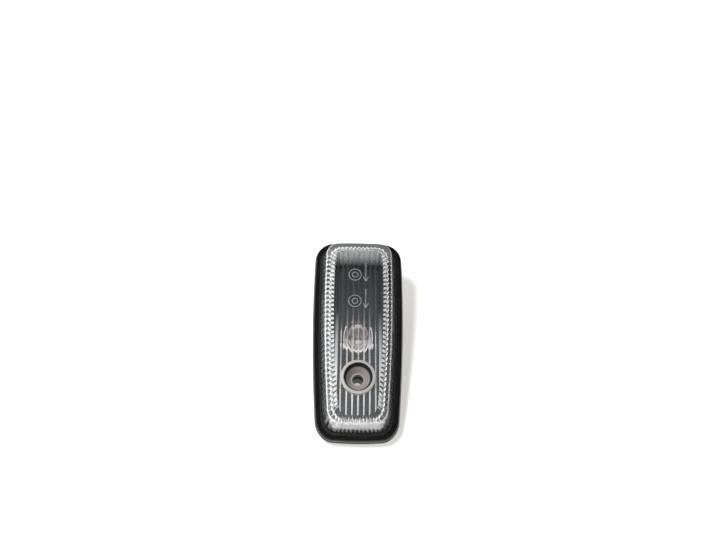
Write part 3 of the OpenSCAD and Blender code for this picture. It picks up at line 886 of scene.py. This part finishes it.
def finish_wire(tree, curves, radius, material, end):
    """Ends a tree with a closed round wire along its curves, in its material."""
    wire = added(tree, "GeometryNodeCurveToMesh", "Mesh", {
        "Curve": curves, "Profile Curve": circle(tree, WIRE_SIDES, radius), "Fill Caps": True})
    dressed = added(tree, "GeometryNodeSetMaterial", "Geometry", {
        "Geometry": realized(tree, wire), "Material": material})
    tree.links.new(dressed, end.inputs["Geometry"])


def coil_tree(turns, wire, radius, length, material):
    """Geometry nodes for a wound coil along Z."""
    tree, given, end = new_shape_tree("wound_coil", {
        "Turns": turns, "Wire Radius": wire / 2, "Coil Radius": radius, "Length": length})
    spiral = added(tree, "GeometryNodeCurveSpiral", "Curve", {
        "Resolution": COIL_STEPS, "Rotations": given["Turns"], "Height": given["Length"],
        "Start Radius": given["Coil Radius"], "End Radius": given["Coil Radius"]})
    finish_wire(tree, spiral, given["Wire Radius"], material, end)
    return tree


def ring_curves(tree, given):
    """Two concentric circles."""
    outer = given["Ring Radius"]
    inner = calculated(tree, "MULTIPLY", outer, INNER_RING)
    return together(tree, [circle(tree, RING_STEPS, radius) for radius in (outer, inner)])


def arrow_curves(tree, given):
    """A stem along the lamp with a small head at its lower end."""
    lines = []
    for points in ARROW_LINES:
        start, end = (
            combined(tree, **{axis: calculated(tree, "MULTIPLY", given["Arrow Length"], share)
                              for axis, share in zip("XY", point)})
            for point in points)
        lines.append(added(tree, "GeometryNodeCurvePrimitiveLine", "Curve", {
            "Start": start, "End": end}))
    return together(tree, lines)


def marks_tree(marks, face_z, material):
    """Geometry nodes for the plain rings and arrows, laid along the face."""
    tree, given, end = new_shape_tree("relief_marks", {
        "Relief Radius": marks.relief / 2, "Ring Radius": marks.ring_radius,
        "Ring X": marks.ring_x, "Arrow X": marks.arrow_x, "First Y": marks.ring_first,
        "Pitch": marks.ring_pitch, "Arrow Length": marks.arrow_length, "Face Z": face_z})
    shapes = {"Ring X": ring_curves(tree, given), "Arrow X": arrow_curves(tree, given)}
    rows = []
    for x_name, curves in shapes.items():
        start = combined(tree, X=given[x_name], Y=given["First Y"], Z=given["Face Z"])
        points = added(tree, "GeometryNodeMeshLine", "Mesh", {
            "Count": 2, "Start Location": start, "Offset": combined(tree, Y=given["Pitch"])})
        rows.append(added(tree, "GeometryNodeInstanceOnPoints", "Instances", {
            "Points": points, "Instance": curves}))
    finish_wire(tree, realized(tree, together(tree, rows)), given["Relief Radius"], material, end)
    return tree


def baked_nodes(tree, name, place):
    """Runs a node tree once and returns its mesh as a plain object with its place in it."""
    carrier = bpy.data.objects.new(name + "_carrier", bpy.data.meshes.new(name + "_carrier"))
    bpy.context.scene.collection.objects.link(carrier)
    modifier = carrier.modifiers.new("shape", "NODES")
    modifier.node_group = tree
    for item in tree.interface.items_tree:
        if item.item_type == "SOCKET" and item.in_out == "INPUT":
            modifier[item.identifier] = item.default_value
    evaluated = carrier.evaluated_get(bpy.context.evaluated_depsgraph_get())
    mesh = bpy.data.meshes.new_from_object(evaluated)
    mesh.name = name
    carrier.modifiers.remove(modifier)
    bpy.data.objects.remove(carrier)
    mesh.transform(place)
    return bpy.data.objects.new(name, mesh)


class LAMP_OT_marks(bpy.types.Operator):
    """Moulds plain rings and arrows in low relief on the face"""

    bl_idname = "lamp.marks"
    bl_label = "Relief marks"

    def execute(self, context):
        marks = context.scene.lamp_marks
        lens = context.scene.lamp_lens
        finish = hazy_material(lens, "relief_marks", lens.tint, RELIEF_CLARITY,
                               RELIEF_ROUGHNESS)
        tree = marks_tree(marks, lens.face_top + marks.height, finish)
        piece = baked_nodes(tree, "relief_marks", Matrix.Identity(4))
        keep_piece(piece, [])
        paint(piece, finish)
        return {"FINISHED"}


class LAMP_OT_bulb(bpy.types.Operator):
    """Makes the bulb's glass, its leads and its wound filament"""

    bl_idname = "lamp.bulb"
    bl_label = "Bulb"

    def execute(self, context):
        bulb = context.scene.lamp_bulb
        glass = merged_copy("bulb_glass", "bulb_envelope", GLASS_CREASE)
        keep_piece(glass, ["bulb_glass"])
        paint(glass, bulb_glass_material(bulb))
        lead = metal_material("lead_wire", bulb.lead_colour, 0.35)
        for side in ("left", "right"):
            paint(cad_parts["bulb_lead_" + side], lead)
        self.wind_coil(bulb)
        return {"FINISHED"}

    def wind_coil(self, bulb):
        """The wound filament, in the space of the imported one."""
        tungsten = metal_material("tungsten_coil", bulb.coil_colour, 0.4)
        low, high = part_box("bulb_filament")
        middle = (Vector(low) + Vector(high)) / 2
        radius = (high[2] - low[2]) / 2 - bulb.coil_wire / 2
        length = high[0] - low[0]
        tree = coil_tree(bulb.coil_turns, bulb.coil_wire, radius, length, tungsten)
        place = (Matrix.Translation(middle) @ Matrix.Rotation(math.radians(90), 4, "Y")
                 @ Matrix.Translation((0, 0, -length / 2)))
        coil = baked_nodes(tree, "wound_filament", place)
        keep_piece(coil, ["bulb_filament"])
        paint(coil, tungsten)


def table_material(stage):
    """A matt white table that looks whiter far from the lamp and keeps its shadow close by."""
    material, tree, shader = new_material("white_table")
    grain = object_noise(tree, scale=30, detail=4)
    blend_colours(tree, grain, TABLE_LOW, TABLE_HIGH, shader.inputs["Base Color"])
    shader.inputs["Roughness"].default_value = 0.9
    shader.inputs["Specular IOR Level"].default_value = 0.1
    rays = tree.nodes.new("ShaderNodeLightPath").outputs
    seen = rays["Is Camera Ray"]
    for name in ("Is Glossy Ray", "Is Transmission Ray"):
        seen = calculated(tree, "MAXIMUM", seen, rays[name])
    away = length_of(tree, place_on_object(tree))
    lift = mapped(tree, away, stage.near_table, 2 * stage.near_table, stage.table_lift, 1)
    tree.links.new(calculated(tree, "MULTIPLY", seen, lift), shader.inputs["Emission Strength"])
    shader.inputs["Emission Color"].default_value = TABLE_GLOW
    return material


class LAMP_OT_stage(bpy.types.Operator):
    """Lays the lamp on a pale table under soft light and sets the camera"""

    bl_idname = "lamp.stage"
    bl_label = "Stage"

    def execute(self, context):
        stage = context.scene.lamp_stage
        self.lay_table(stage)
        self.light_from_around(stage)
        self.hang_key(stage)
        self.set_camera(stage)
        context.scene.view_settings.view_transform = "Standard"
        return {"FINISHED"}

    def lay_table(self, stage):
        """A table top that touches the housing's near end and the back of the holder."""
        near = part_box("gasket")[0][1] + stage.tray_inset
        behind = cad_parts["housing"].data.vertices
        tray_z = min(v.co.z for v in behind if v.co.y < near + TRAY_STRIP)
        low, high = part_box("bulb_holder")
        tilt = math.atan2(tray_z - low[2], high[1] - near)
        half = stage.table_size / 2
        mesh = bpy.data.meshes.new("table_top")
        corners = [(-half, -half, 0), (half, -half, 0), (half, half, 0), (-half, half, 0)]
        mesh.from_pydata(corners, [], [(0, 1, 2, 3)])
        mesh.transform(Matrix.Translation((0, near, tray_z - TABLE_CLEARANCE))
                       @ Matrix.Rotation(-tilt, 4, "X"))
        table = bpy.data.objects.new("table_top", mesh)
        bpy.context.scene.collection.objects.link(table)
        table.data.materials.append(table_material(stage))

    def light_from_around(self, stage):
        """A world that is brighter low down and on one side, with a white backdrop."""
        world = bpy.data.worlds.new("studio")
        bpy.context.scene.world = world
        world.use_nodes = True
        tree = world.node_tree
        tree.nodes.clear()
        direction = added(tree, "ShaderNodeTexCoord", "Generated", {})
        height = mapped(tree, part(tree, direction, "Z"), *HEIGHT_FADE,
                        stage.wall_strength, stage.ceiling_strength)
        side = added(tree, "ShaderNodeVectorMath", "Value", {
            0: direction, 1: stage.bright_side}, operation="DOT_PRODUCT")
        share = mapped(tree, side, *SIDE_FADE, stage.dim_share, stage.bright_share)
        around, backdrop = (
            added(tree, "ShaderNodeBackground", "Background", {
                "Color": WHITE, "Strength": strength})
            for strength in (calculated(tree, "MULTIPLY", height, share), 1.0))
        camera_ray = added(tree, "ShaderNodeLightPath", "Is Camera Ray", {})
        mix = added(tree, "ShaderNodeMixShader", "Shader", {
            "Fac": camera_ray, 1: around, 2: backdrop})
        tree.links.new(mix, tree.nodes.new("ShaderNodeOutputWorld").inputs["Surface"])

    def hang_key(self, stage):
        """The key light from the left, which shows in no reflection and through no glass."""
        lamp = bpy.data.lights.new("soft_key", "AREA")
        lamp.shape = "SQUARE"
        lamp.size = stage.key_size
        lamp.energy = stage.key_power
        key = bpy.data.objects.new("soft_key", lamp)
        key.visible_transmission = False
        key.visible_glossy = False
        bpy.context.scene.collection.objects.link(key)
        place = Vector(stage.key_place)
        turn = (KEY_AIM - place).to_track_quat("-Z", "Y")
        key.matrix_world = Matrix.Translation(place) @ turn.to_matrix().to_4x4()

    def set_camera(self, stage):
        """The photograph's viewpoint."""
        lens = bpy.data.cameras.new("photo_camera")
        lens.sensor_width = SENSOR_WIDTH
        lens.lens = SENSOR_WIDTH * stage.focal_pixels / PHOTO_WIDTH
        lens.clip_start = CLIP_START
        camera = bpy.data.objects.new("photo_camera", lens)
        camera.location = stage.camera_place
        camera.rotation_euler = Euler(stage.camera_turn, "XYZ")
        bpy.context.scene.collection.objects.link(camera)
        bpy.context.scene.camera = camera


class LAMP_PT_panel(bpy.types.Panel):
    """Lists the pieces and the stage"""

    bl_idname = "LAMP_PT_panel"
    bl_label = "Side repeater lamp"
    bl_space_type = "VIEW_3D"
    bl_region_type = "UI"
    bl_category = "Lamp"

    def draw(self, context):
        for operator in PIECE_OPERATORS:
            self.layout.operator(operator.bl_idname)


PIECE_OPERATORS = (LAMP_OT_stage, LAMP_OT_housing, LAMP_OT_gasket, LAMP_OT_holder, LAMP_OT_bulb,
                   LAMP_OT_lens, LAMP_OT_marks)
SETTINGS = {
    "lamp_lens": LampLensSettings,
    "lamp_marks": LampMarkSettings,
    "lamp_plastics": LampPlasticSettings,
    "lamp_bulb": LampBulbSettings,
    "lamp_stage": LampStageSettings,
}


def register():
    for name, group in SETTINGS.items():
        bpy.utils.register_class(group)
        setattr(bpy.types.Scene, name, bpy.props.PointerProperty(type=group))
    for operator in PIECE_OPERATORS:
        bpy.utils.register_class(operator)
    bpy.utils.register_class(LAMP_PT_panel)


def unregister():
    bpy.utils.unregister_class(LAMP_PT_panel)
    for operator in reversed(PIECE_OPERATORS):
        bpy.utils.unregister_class(operator)
    for name, group in reversed(SETTINGS.items()):
        delattr(bpy.types.Scene, name)
        bpy.utils.unregister_class(group)


def main():
    register()
    bpy.ops.lamp.stage()
    bpy.ops.lamp.housing()
    bpy.ops.lamp.gasket()
    bpy.ops.lamp.holder()
    bpy.ops.lamp.bulb()
    bpy.ops.lamp.lens()
    bpy.ops.lamp.marks()


if __name__ == "__main__":
    main()
